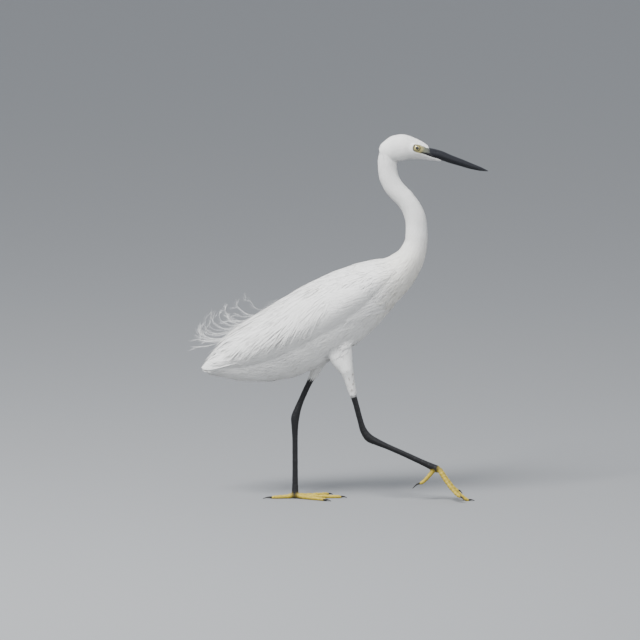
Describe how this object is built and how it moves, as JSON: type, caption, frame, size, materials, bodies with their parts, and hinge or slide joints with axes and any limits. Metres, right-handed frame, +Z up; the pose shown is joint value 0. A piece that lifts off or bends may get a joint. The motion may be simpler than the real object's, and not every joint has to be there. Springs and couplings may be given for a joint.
{
  "type": "little egret, life-size still model",
  "caption": "Life-size little egret walking slowly, neck in an S, one foot flat and one toe just down, white plumage, black bill and legs.",
  "frame": {"origin": "on the floor, under the middle of the bird's bounding box", "axes": "+X towards the bill, +Y towards the bird's left, +Z up"},
  "size_m": [0.3842, 0.0962, 0.4916],
  "materials": {
    "plumage": "soft white feathers",
    "bill": "black horn with a dull sheen",
    "eyes": "wet, pale yellow iris round a black pupil",
    "legs": "black scaly skin",
    "toes": "yellow scaly skin",
    "claws": "black horn"
  },
  "bodies": {
    "root": {"head": "plumage", "bill_upper": "bill", "bill_lower": "bill", "eye_left": "eyes", "eye_right": "eyes", "neck_upper": "plumage", "neck_middle": "plumage", "neck_lower": "plumage", "neck_root": "plumage", "trunk": "plumage", "wing_left": "plumage", "wing_right": "plumage", "plumes_back": "plumage", "plume_tip_1": "plumage", "plume_tip_2": "plumage", "plume_tip_3": "plumage", "plume_tip_4": "plumage", "plume_tip_5": "plumage", "tail": "plumage", "thigh_left": "plumage", "thigh_right": "plumage", "shank_left": "legs", "shank_right": "legs", "tarsus_left": "legs", "tarsus_right": "legs", "toe_middle_left": "toes", "toe_inner_left": "toes", "toe_outer_left": "toes", "toe_hallux_left": "toes", "toe_middle_right": "toes", "toe_inner_right": "toes", "toe_outer_right": "toes", "toe_hallux_right": "toes", "claw_middle_left": "claws", "claw_inner_left": "claws", "claw_outer_left": "claws", "claw_hallux_left": "claws", "claw_middle_right": "claws", "claw_inner_right": "claws", "claw_outer_right": "claws", "claw_hallux_right": "claws"}
  },
  "joints": []
}
